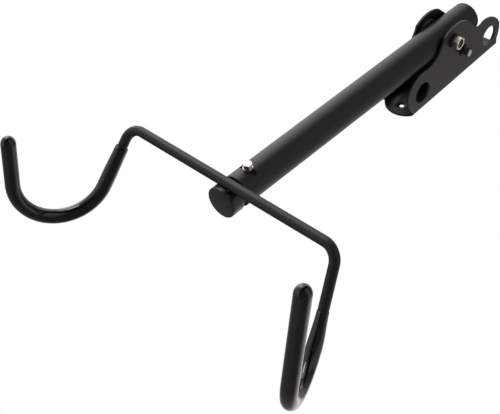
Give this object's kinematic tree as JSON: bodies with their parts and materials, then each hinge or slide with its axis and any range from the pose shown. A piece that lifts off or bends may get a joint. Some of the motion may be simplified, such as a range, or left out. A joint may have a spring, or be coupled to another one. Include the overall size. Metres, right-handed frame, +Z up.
{
  "type": "bicycle wall rack",
  "caption": "Wall bracket with a fold-down tube arm whose swivelling end carries a cross rod bent into sleeved hooks, to hang a bicycle by its frame.",
  "frame": {"origin": "middle of the two wall screw holes, on the back face of the wall bracket", "axes": "+Z up, +Y into the wall, -Y the room side, +X along the fold pivot towards the nut and the lock plunger"},
  "size_m": [0.3707, 0.1647, 0.5319],
  "materials": {
    "powder_coat": "black powder coat, semi-gloss",
    "sleeve_vinyl": "glossy black dipped vinyl",
    "cap_plastic": "black moulded plastic",
    "yellow_zinc": "pale yellow zinc plate",
    "bright_zinc": "bright zinc plate",
    "black_steel": "black oxide",
    "washer_nylon": "black nylon",
    "lock_nylon": "dark nylon"
  },
  "bodies": {
    "bracket": {"wall_bracket": "powder_coat", "pivot_bolt": "bright_zinc", "pivot_nut": "yellow_zinc", "pivot_nut_insert": "lock_nylon", "pivot_washers": "black_steel", "lock_pin_collar": "black_steel"},
    "plunger": {"lock_pin": "bright_zinc", "lock_pin_clip": "black_steel"},
    "arm": {"arm_tube": "powder_coat", "pivot_sleeve": "bright_zinc", "side_washers": "washer_nylon"},
    "head": {"head_tube": "powder_coat", "hook_rod": "powder_coat", "rod_welds": "powder_coat", "end_cap": "cap_plastic", "left_sleeve": "sleeve_vinyl", "right_sleeve": "sleeve_vinyl", "tilt_bolt": "bright_zinc", "tilt_washer": "bright_zinc", "tilt_nut": "bright_zinc"}
  },
  "joints": [
    {"name": "arm_fold", "type": "hinge", "parent": "bracket", "child": "arm", "pos_m": [0, -0.0555, -0.0035], "axis": [-1, 0, 0], "range_deg": [0, 87]},
    {"name": "head_tilt", "type": "hinge", "parent": "arm", "child": "head", "pos_m": [0, -0.06684, -0.2967], "axis": [0, -0.0488, -0.9988], "range_deg": [-20, 20]},
    {"name": "lock_pin_push", "type": "slide", "parent": "bracket", "child": "plunger", "axis": [-1, 0, 0], "range_m": [0, 0.005]}
  ]
}
